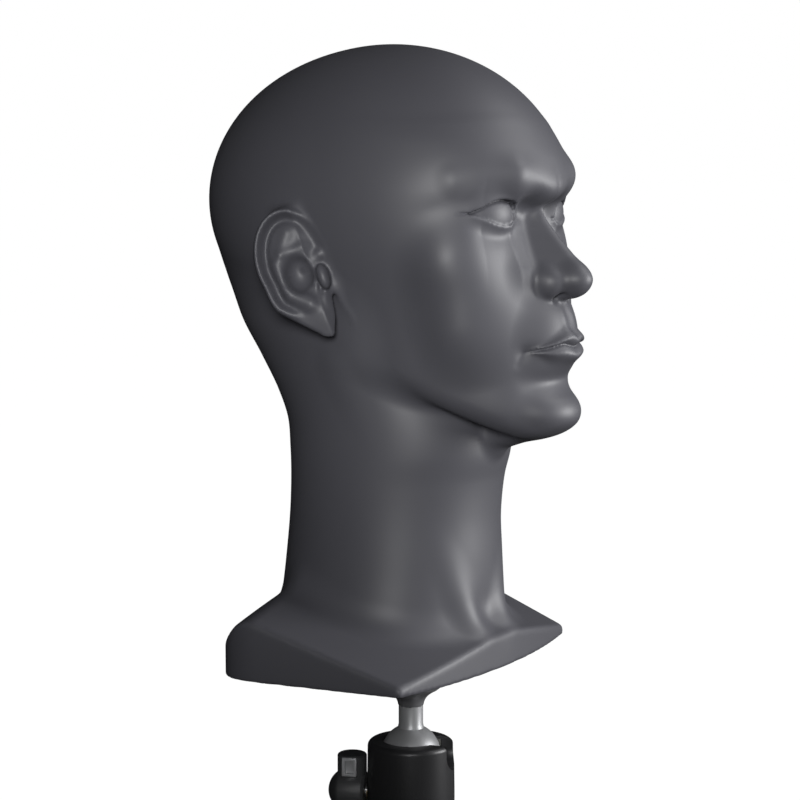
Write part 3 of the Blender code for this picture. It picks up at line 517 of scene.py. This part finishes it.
def build_bust(material):
    """The head's shell, on a lattice that is finest round the face, the ears and the rim."""
    coarser = 1.0
    fine, middle, wide = 1.0 * coarser, 1.5 * coarser, 2.2 * coarser
    axes = [
        graded_axis(-118.0, (-98.0, wide), (-66.0, fine), (-48.0, middle), (48.0, fine),
                    (66.0, middle), (98.0, fine), (118.0, wide)),
        graded_axis(-122.0, (-52.0, fine), (-12.0, wide), (52.0, fine), (128.0, wide)),
        graded_axis(-6.0, (30.0, middle), (124.0, wide), (280.0, fine), (354.0, wide)),
    ]
    points, quads = surface_net(shell_field, axes)
    points = settle(points, shell_field)
    mesh = bpy.data.meshes.new("mannequin_head")
    lift = np.array([0.0, PAN_AXIS.y / MM, BUST_Z])
    mesh.from_pydata(((points + lift) * MM).tolist(), [], quads.tolist())
    mesh.update()
    mesh.shade_smooth()
    mesh.materials.append(material)
    head = bpy.data.objects.new("mannequin_head", mesh)
    bpy.context.scene.collection.objects.link(head)
    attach(head, "head_body")
    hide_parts("head_shell")
    return head


# ---------------------------------------------------------------- ball head meshes
def arc(radius, start, end, steps, centre=(0.0, 0.0)):
    """Points on an arc; angles in degrees from +X."""
    turns = [math.radians(start + (end - start) * i / steps) for i in range(steps + 1)]
    return [(centre[0] + radius * math.cos(a), centre[1] + radius * math.sin(a)) for a in turns]


def add_lathe(bm, profile, segments=ROUND_SEGMENTS, closed=False):
    """Turns (radius, height) points round Z; an open profile starts and ends on the axis."""
    rings = []
    for radius, height in profile:
        count = segments if radius > 0.0 else 1
        turns = [2.0 * math.pi * i / count for i in range(count)]
        rings.append([bm.verts.new((radius * math.cos(a), radius * math.sin(a), height))
                      for a in turns])
    pairs = list(zip(rings, rings[1:])) + ([(rings[-1], rings[0])] if closed else [])
    for lower, upper in pairs:
        for i in range(segments):
            k = (i + 1) % segments
            corners = [lower[i % len(lower)], lower[k % len(lower)],
                       upper[k % len(upper)], upper[i % len(upper)]]
            bm.faces.new(dict.fromkeys(corners))


def add_prism(bm, outline, bottom, top):
    """An upright prism over an (x, y) outline."""
    lower = [bm.verts.new((x, y, bottom)) for x, y in outline]
    upper = [bm.verts.new((x, y, top)) for x, y in outline]
    bm.faces.new(lower[::-1])
    bm.faces.new(upper)
    for i in range(len(outline)):
        k = (i + 1) % len(outline)
        bm.faces.new((lower[i], lower[k], upper[k], upper[i]))


def link_form(name, bm, place, material=None):
    """A bmesh in millimetres becomes an object in metres."""
    bmesh.ops.recalc_face_normals(bm, faces=bm.faces)
    if bm.calc_volume(signed=True) < 0.0:
        bmesh.ops.reverse_faces(bm, faces=bm.faces)
    bm.transform(Matrix.Scale(MM, 4))
    mesh = bpy.data.meshes.new(name)
    bm.to_mesh(mesh)
    bm.free()
    if material:
        mesh.materials.append(material)
    obj = bpy.data.objects.new(name, mesh)
    obj.matrix_world = place
    bpy.context.scene.collection.objects.link(obj)
    return obj


def bake_modifiers(obj):
    """Makes the modifiers' result the object's own mesh."""
    bpy.context.view_layer.update()
    evaluated = obj.evaluated_get(bpy.context.evaluated_depsgraph_get())
    mesh = bpy.data.meshes.new_from_object(evaluated)
    obj.modifiers.clear()
    obj.data = mesh


def combine(target, tool, operation="DIFFERENCE"):
    """Cuts a tool out of a form, or joins it on, and removes the tool."""
    modifier = target.modifiers.new("combine", "BOOLEAN")
    modifier.operation = operation
    modifier.solver = "EXACT"
    modifier.object = tool
    bake_modifiers(target)
    bpy.data.objects.remove(tool)


def soften(obj, width, steps=3):
    """Rounds the sharp edges and shades the rest smooth."""
    bevel = obj.modifiers.new("soften", "BEVEL")
    bevel.width = width * MM
    bevel.segments = steps
    bevel.limit_method = "ANGLE"
    bevel.angle_limit = SHARP_ANGLE
    bake_modifiers(obj)
    obj.data.shade_smooth()
    obj.data.set_sharp_from_angle(angle=SHARP_ANGLE)


def stand_in(obj, node, body):
    """A visual piece takes the place of a CAD node and rides on its body."""
    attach(obj, body)
    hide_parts(node)


def upright_place(height):
    """Local +Z is the pan axis, from a height above the seat."""
    return Matrix.Translation((PAN_AXIS.x, PAN_AXIS.y, height * MM))


def outward_place(turn, height):
    """Local +Z leads away from the pan axis, level, at a turn from the notch; +X is up."""
    side = Matrix.Rotation(HOUSING_TURN + turn, 4, "Z")
    lift = upright_place(height)
    level = Matrix(((0, 0, 1, 0), (0, -1, 0, 0), (1, 0, 0, 0), (0, 0, 0, 1)))
    return lift @ side @ level


def lathed_form(name, profile, place, material=None, segments=ROUND_SEGMENTS, closed=False):
    """A turned form whose axis is the place's Z."""
    bm = bmesh.new()
    add_lathe(bm, profile, segments, closed)
    return link_form(name, bm, place, material)


def bar_form(name, radius, start, end, place, segments=48):
    """A plain round bar along the place's Z, used as a tool."""
    return lathed_form(name, [(0.0, start), (radius, start), (radius, end), (0.0, end)], place,
                       segments=segments)


def build_housing(material, heights):
    """Cup-shaped housing with a rounded shoulder, the drop notch and two side bores."""
    bottom, top = heights["bottom"], heights["top"]
    lip_r, bore_r, wall_r, shoulder_r = 16.3, 19.0, 25.5, 3.4
    shoulder = arc(shoulder_r, 0.0, 80.0, 12, (21.7, top - 3.7))
    profile = [(21.3, bottom), (24.8, bottom), (wall_r, bottom + 0.8), (wall_r, 30.0), *shoulder,
               (lip_r + 0.5, top), (lip_r, top - 0.5), (lip_r, top - 1.5), (bore_r, top - 1.5),
               (bore_r, 17.3), (21.3, 17.3)]
    housing = lathed_form("ball_housing", profile, upright_place(0.0), material, closed=True)

    notch_half, notch_floor, over = 10.0, heights["ball"] - 8.5, top + 5.0
    outline = [(notch_half, over),
               *arc(notch_half, 0.0, -180.0, 32, (0.0, notch_floor + notch_half)),
               (-notch_half, over)]
    bm = bmesh.new()
    add_prism(bm, [(height, side) for side, height in outline], 8.0, 40.0)
    combine(housing, link_form("notch_tool", bm, outward_place(0.0, 0.0)))
    lock_place = outward_place(math.pi, heights["lock"])
    combine(housing, bar_form("lock_bore_tool", 6.3, 10.0, 40.0, lock_place))
    pan_place = outward_place(math.pi / 2, heights["pan_lock"])
    combine(housing, bar_form("pan_bore_tool", 3.3, 12.0, 40.0, pan_place, 24))
    soften(housing, 0.45)
    stand_in(housing, "housing", "housing_body")


def build_pan_base(material, heights):
    """Base disc with a groove round its rim, and the post that the pan lock grips."""
    edge_r, floor_z, post_r = 24.0, 8.0, 8.0
    profile = [(6.8, 0.0), (edge_r - 1.2, 0.0), *arc(1.2, -90.0, 0.0, 6, (edge_r - 1.2, 1.2)),
               (edge_r, 3.4), (edge_r - 0.5, 3.7), (edge_r - 0.5, 4.3), (edge_r, 4.6),
               *arc(1.0, 0.0, 90.0, 6, (edge_r - 1.0, floor_z - 1.0)),
               (post_r, floor_z), (post_r, 11.2), (6.5, 12.2), (6.5, 13.8), (post_r, 14.8),
               (post_r, 17.0), (4.0, 17.0), (4.0, 9.3), (6.8, 9.3)]
    base = lathed_form("pan_base_disc", profile, upright_place(0.0), material, closed=True)
    soften(base, 0.15, 2)
    stand_in(base, "pan_base", "base")


def build_ball_and_platform(materials, heights):
    """The ball with its stem, and the flared platform that carries the bust."""
    ball_r, stem_r, neck_r = BALL_RADIUS, 7.1, 7.6
    neck_angle = math.degrees(math.acos(neck_r / ball_r))
    under_bust = heights["bust"] - heights["ball"]
    stem_top, tenon_top = under_bust - 30.3, under_bust - 14.0
    profile = [*arc(ball_r, -90.0, neck_angle, 60), (stem_r + 0.2, 17.0), (stem_r, 17.6),
               (stem_r, stem_top - 0.3), (stem_r - 0.3, stem_top), (6.0, stem_top),
               (6.0, tenon_top), (0.0, tenon_top)]
    profile[0] = (0.0, -ball_r)
    centre = upright_place(heights["ball"])
    ball = lathed_form("ball_and_stem", profile, centre, materials["satin_steel"])
    ball.data.shade_smooth()
    ball.data.set_sharp_from_angle(angle=SHARP_ANGLE)
    stand_in(ball, "ball_stem", "ball_body")

    rim_r = 17.6
    flare = [(7.4, -30.0), (7.7, -28.5), (8.4, -26.8), (9.4, -25.2), (10.8, -23.8),
             (12.4, -22.6), (14.3, -21.4), (15.8, -20.6), (17.1, -19.6), (rim_r, -18.6)]
    grooves = []
    for height in (-15.0, -12.5, -10.0):
        grooves += [(rim_r, height), (rim_r - 0.4, height + 0.3), (rim_r, height + 0.6)]
    profile = [(0.0, -13.7), (6.3, -13.7), (6.3, -30.0), *flare, *grooves, (rim_r, -4.6),
               (rim_r - 0.8, -3.8), (5.06, -3.8), (5.06, -11.4), (0.0, -11.4)]
    seat = upright_place(heights["bust"])
    platform = lathed_form("flared_platform", profile, seat, materials["grey_aluminium"])
    soften(platform, 0.15, 2)
    stand_in(platform, "platform", "ball_body")


def inlay_plate(name, place, margin, bottom, top, material=None):
    """A plate with the knob inlay's outline, grown by a margin."""
    half_height, half_width = 5.5 + margin, 4.35 + margin
    outline = [(-half_height, -half_width), (half_height, -half_width),
               (half_height, half_width), (-half_height, half_width)]
    bm = bmesh.new()
    add_prism(bm, outline, bottom, top)
    return link_form(name, bm, place, material)


def build_lock_knob(materials, heights):
    """T-bar knob: a domed hub with two round lobes, the upper one inlaid with steel."""
    place = outward_place(math.pi, heights["lock"])
    start, end, lobe_r, reach, bore_r = 26.4, 49.0, 8.6, 22.0, 4.3
    hub = [(0.0, 40.3), (bore_r, 40.3), (bore_r, start), (10.0, start), (11.5, start + 1.5),
           (11.5, 41.0), *arc(13.0, 30.0, 90.0, 16, (0.0, end - 13.0))]
    hub[-1] = (0.0, end)
    knob = lathed_form("t_bar_knob", hub, place, materials["black_plastic"], 64)
    lobe_middle = start + lobe_r
    lobe = [(0.0, 6.0), (lobe_r, 6.0), *arc(1.4, 0.0, 90.0, 6, (lobe_r - 1.4, reach - 1.4)),
            (0.0, reach)]
    for turn in (90.0, -90.0):
        upright = Matrix.Rotation(math.radians(turn), 4, "Y")
        lobe_place = place @ Matrix.Translation((0.0, 0.0, lobe_middle * MM)) @ upright
        combine(knob, lathed_form("lobe_tool", lobe, lobe_place, segments=64), "UNION")

    outward = Matrix.Rotation(math.radians(90.0), 4, "X")
    inlay_place = place @ Matrix.Translation((15.5 * MM, 0.0, lobe_middle * MM)) @ outward
    combine(knob, inlay_plate("pocket_tool", inlay_place, 0.3, 5.0, 12.0))
    soften(knob, 0.3, 2)
    stand_in(knob, "lock_knob", "lock_knob_body")
    inlay = inlay_plate("steel_inlay", inlay_place, 0.0, 5.3, lobe_r - 0.3,
                        materials["satin_steel"])
    combine(inlay, inlay_plate("recess_tool", inlay_place, -1.8, 6.6, 12.0))
    soften(inlay, 0.25)
    stand_in(inlay, "knob_inlay", "lock_knob_body")


def build_pan_knob(material, heights):
    """Small round knob with fine ridges."""
    place = outward_place(math.pi / 2, heights["pan_lock"])
    start, end = 26.5, 39.0
    mean_r, ridge, ridges, steps = 6.9, 0.3, 18, 6
    outline = []
    for i in range(ridges * steps):
        angle = 2.0 * math.pi * i / (ridges * steps)
        radius = mean_r + ridge * math.cos(ridges * angle)
        outline.append((radius * math.cos(angle), radius * math.sin(angle)))
    bm = bmesh.new()
    add_prism(bm, outline, start, end)
    knob = link_form("ribbed_pan_knob", bm, place, material)
    combine(knob, bar_form("knob_bore_tool", 3.3, start - 5.0, 34.3, place, 24))
    soften(knob, 0.4)
    stand_in(knob, "pan_lock_knob", "pan_knob_body")


def middle_height(node):
    """Height of a CAD node's middle over the seat, in millimetres."""
    low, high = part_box(node)
    return 0.5 * (low.z + high.z) / MM


def build_ball_head(materials):
    """All the pieces under the bust, at the heights that the CAD nodes give."""
    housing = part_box("housing")
    heights = {
        "bottom": housing[0].z / MM,
        "top": housing[1].z / MM,
        "ball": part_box("ball_stem")[0].z / MM + BALL_RADIUS,
        "lock": middle_height("lock_knob"),
        "pan_lock": middle_height("pan_lock_screw"),
        "bust": BUST_Z,
    }
    build_housing(materials["black_aluminium"], heights)
    build_pan_base(materials["black_aluminium"], heights)
    build_ball_and_platform(materials, heights)
    build_lock_knob(materials, heights)
    build_pan_knob(materials["black_plastic"], heights)


# ---------------------------------------------------------------- materials
# slot: colour, its spread, roughness, metallic, fineness of the grain, strength of the bump
LOOKS = {
    "charcoal_plastic": ((0.078, 0.078, 0.090), 0.06, 0.5, 0.0, 900.0, 0.08),
    "black_aluminium": ((0.03, 0.03, 0.032), 0.1, 0.38, 0.3, 2500.0, 0.15),
    "grey_aluminium": ((0.20, 0.20, 0.21), 0.08, 0.4, 0.4, 2500.0, 0.1),
    "aluminium": ((0.6, 0.6, 0.62), 0.05, 0.35, 1.0, 1500.0, 0.1),
    "satin_steel": ((0.36, 0.365, 0.375), 0.04, 0.42, 0.4, 1800.0, 0.06),
    "steel": ((0.42, 0.42, 0.43), 0.06, 0.34, 1.0, 1500.0, 0.1),
    "brass": ((0.65, 0.45, 0.17), 0.06, 0.33, 1.0, 1500.0, 0.1),
    "black_plastic": ((0.035, 0.036, 0.038), 0.1, 0.5, 0.0, 900.0, 0.2),
    # the white nylon pad is coloured dark grey as painted shade of the drop notch it sits in
    "white_nylon": ((0.12, 0.12, 0.11), 0.05, 0.6, 0.0, 900.0, 0.1),
    "rubber": ((0.02, 0.02, 0.021), 0.15, 0.8, 0.0, 900.0, 0.4),
    "grey_board": ((0.2, 0.2, 0.21), 0.08, 0.65, 0.0, 900.0, 0.4),
}
FLOOR_LOOK = ((0.06, 0.06, 0.06), 0.004, 0.85, 0.0, 900.0, 0.0)
CLOUD_SCALE = 14.0
ROUGHNESS_SPREAD = 0.04
WEAR_EDGES = (0.52, 0.62)            # pointiness where the wear starts and is complete
BUMP_DEPTH = 0.0002


def noise(nodes, links, place, scale, detail):
    """Noise in the object's own coordinates."""
    texture = nodes.new("ShaderNodeTexNoise")
    texture.inputs["Scale"].default_value = scale
    texture.inputs["Detail"].default_value = detail
    links.new(place.outputs["Object"], texture.inputs["Vector"])
    return texture.outputs["Fac"]


def map_range(nodes, links, value, **limits):
    """Maps a value to another range; limits are named after the node's sockets."""
    ramp = nodes.new("ShaderNodeMapRange")
    for socket, limit in limits.items():
        ramp.inputs[socket.replace("_", " ").title()].default_value = limit
    links.new(value, ramp.inputs["Value"])
    return ramp.outputs["Result"]


def cloudy_colour(nodes, links, colour, variation, cloud):
    """The colour with patches a little darker and a little lighter."""
    tint = nodes.new("ShaderNodeMix")
    tint.data_type = "RGBA"
    tint.inputs["A"].default_value = (*[c * (1.0 - variation) for c in colour], 1.0)
    tint.inputs["B"].default_value = (*[c * (1.0 + variation) for c in colour], 1.0)
    links.new(cloud, tint.inputs["Factor"])
    return tint.outputs["Result"]


def worn_colour(nodes, links, colour, tint):
    """The tinted colour, lighter where an edge is worn."""
    geometry = nodes.new("ShaderNodeNewGeometry")
    first, full = WEAR_EDGES
    share = map_range(nodes, links, geometry.outputs["Pointiness"], from_min=first,
                      from_max=full)
    wear = nodes.new("ShaderNodeMix")
    wear.data_type = "RGBA"
    wear.inputs["B"].default_value = (*[min(1.0, c * 1.35 + 0.01) for c in colour], 1.0)
    links.new(share, wear.inputs["Factor"])
    links.new(tint, wear.inputs["A"])
    return wear.outputs["Result"]


def grain_normal(nodes, links, place, grain, bump):
    """Fine relief of the surface."""
    relief = nodes.new("ShaderNodeBump")
    relief.inputs["Strength"].default_value = bump
    relief.inputs["Distance"].default_value = BUMP_DEPTH
    links.new(noise(nodes, links, place, grain, 2.0), relief.inputs["Height"])
    return relief.outputs["Normal"]


def node_material(name, colour, variation, roughness, metallic, grain, bump):
    """A Principled material whose colour, roughness and surface vary with noise."""
    material = bpy.data.materials.new(name)
    material.use_nodes = True
    nodes, links = material.node_tree.nodes, material.node_tree.links
    shader = nodes["Principled BSDF"]
    shader.inputs["Metallic"].default_value = metallic
    place = nodes.new("ShaderNodeTexCoord")
    cloud = noise(nodes, links, place, CLOUD_SCALE, 5.0)
    tint = cloudy_colour(nodes, links, colour, variation, cloud)
    links.new(worn_colour(nodes, links, colour, tint), shader.inputs["Base Color"])
    rough = map_range(nodes, links, cloud, to_min=roughness - ROUGHNESS_SPREAD,
                      to_max=roughness + ROUGHNESS_SPREAD)
    links.new(rough, shader.inputs["Roughness"])
    normal = grain_normal(nodes, links, place, grain, bump)
    links.new(normal, shader.inputs["Normal"])
    return material


def make_materials():
    """One material for every slot."""
    return {slot: node_material(f"{slot}_look", *look) for slot, look in LOOKS.items()}


def dress_frame(frame, materials):
    """Gives every CAD node the detailed material of its slot."""
    for part in frame["record"]["subparts"]:
        node, slot = frame["nodes"][part["node"]], part["material_slot"]
        node.data.materials.clear()
        node.data.materials.append(materials[slot])


# ---------------------------------------------------------------- stage
def build_stage():
    """A pale floor that runs out to the horizon in every direction."""
    bm = bmesh.new()
    bmesh.ops.create_circle(bm, cap_ends=True, radius=FLOOR_RADIUS, segments=64)
    mesh = bpy.data.meshes.new("studio_floor")
    bm.to_mesh(mesh)
    bm.free()
    mesh.materials.append(floor_material())
    floor = bpy.data.objects.new("studio_floor", mesh)
    floor.location.z = -FLOOR_DROP
    bpy.context.scene.collection.objects.link(floor)


def floor_material():
    """Glows evenly to the camera, so that the floor meets the white background without an edge."""
    material = node_material("studio_floor_look", *FLOOR_LOOK)
    nodes, links = material.node_tree.nodes, material.node_tree.links
    shader = nodes["Principled BSDF"]
    shader.inputs["Specular IOR Level"].default_value = 0.0
    shader.inputs["Emission Color"].default_value = (1.0, 1.0, 1.0, 1.0)
    rays = nodes.new("ShaderNodeLightPath")
    links.new(rays.outputs["Is Camera Ray"], shader.inputs["Emission Strength"])
    return material


def aim(obj, place, target):
    """Puts a camera or a light at a place, looking at a target."""
    obj.location = place
    obj.rotation_mode = "QUATERNION"
    obj.rotation_quaternion = (place - target).to_track_quat("Z", "Y")
    bpy.context.scene.collection.objects.link(obj)


def add_panel(name, middle, offset, power):
    """A square panel of even light."""
    light = bpy.data.lights.new(name, "AREA")
    light.shape = "SQUARE"
    light.size = PANEL_SIDE
    light.energy = power
    aim(bpy.data.objects.new(name, light), middle + Vector(offset), middle)


def add_spot(name, middle, offset, power):
    """A soft-edged pool of light on the cheek."""
    light = bpy.data.lights.new(name, "SPOT")
    light.energy = power
    light.spot_size = SPOT_ANGLE
    light.spot_blend = 1.0
    light.shadow_soft_size = 0.2
    target = middle + Vector(SPOT_TARGET)
    aim(bpy.data.objects.new(name, light), middle + Vector(offset), target)


def build_lights():
    """A soft key from the far side of the face, a weak one from above and a pool on the cheek."""
    middle = Vector((PAN_AXIS.x, PAN_AXIS.y, HEAD_MIDDLE_HEIGHT))
    add_panel("key", middle, *KEY_LIGHT)
    add_panel("top", middle, *TOP_LIGHT)
    add_spot("side", middle, *SIDE_SPOT)


def build_world():
    """White to the camera, and a dimmer even light on everything else."""
    world = bpy.data.worlds.new("studio")
    world.use_nodes = True
    nodes, links = world.node_tree.nodes, world.node_tree.links
    lit = nodes["Background"]
    lit.inputs["Color"].default_value = (0.93, 0.96, 1.0, 1.0)
    lit.inputs["Strength"].default_value = 0.02
    seen = nodes.new("ShaderNodeBackground")
    seen.inputs["Color"].default_value = (1.0, 1.0, 1.0, 1.0)
    rays = nodes.new("ShaderNodeLightPath")
    mix = nodes.new("ShaderNodeMixShader")
    links.new(rays.outputs["Is Camera Ray"], mix.inputs["Fac"])
    links.new(lit.outputs["Background"], mix.inputs[1])
    links.new(seen.outputs["Background"], mix.inputs[2])
    links.new(mix.outputs["Shader"], nodes["World Output"].inputs["Surface"])
    bpy.context.scene.world = world
    bpy.context.scene.view_settings.view_transform = "Standard"


def build_camera():
    """Looks at the right side of the face from slightly above."""
    right = Vector((math.cos(VIEW_TURN), -math.sin(VIEW_TURN), 0.0))
    forward = Vector((math.sin(VIEW_TURN), math.cos(VIEW_TURN), 0.0))
    target = Vector((PAN_AXIS.x, PAN_AXIS.y, BUST_Z * MM + VIEW_TARGET_HEIGHT))
    target += right * VIEW_TARGET_SIDE
    level = forward * VIEW_DISTANCE * math.cos(VIEW_DROP)
    place = target - level + Vector((0.0, 0.0, VIEW_DISTANCE * math.sin(VIEW_DROP)))
    data = bpy.data.cameras.new("camera")
    data.lens = LENS
    camera = bpy.data.objects.new("camera", data)
    aim(camera, place, target)
    bpy.context.scene.camera = camera


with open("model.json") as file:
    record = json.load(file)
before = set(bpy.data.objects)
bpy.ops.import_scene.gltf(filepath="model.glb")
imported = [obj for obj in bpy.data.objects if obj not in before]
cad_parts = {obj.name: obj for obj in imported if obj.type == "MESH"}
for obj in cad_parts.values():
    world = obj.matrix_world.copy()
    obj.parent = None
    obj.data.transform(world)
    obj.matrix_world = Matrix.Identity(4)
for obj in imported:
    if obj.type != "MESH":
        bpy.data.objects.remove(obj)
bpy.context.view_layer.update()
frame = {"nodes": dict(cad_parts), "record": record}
BUST_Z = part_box("head_shell")[0].z / MM
PAN_AXIS = 0.5 * (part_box("pan_base")[0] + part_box("pan_base")[1])

materials = make_materials()
dress_frame(frame, materials)
build_bust(materials["charcoal_plastic"])
build_ball_head(materials)
build_stage()
build_world()
build_lights()
build_camera()
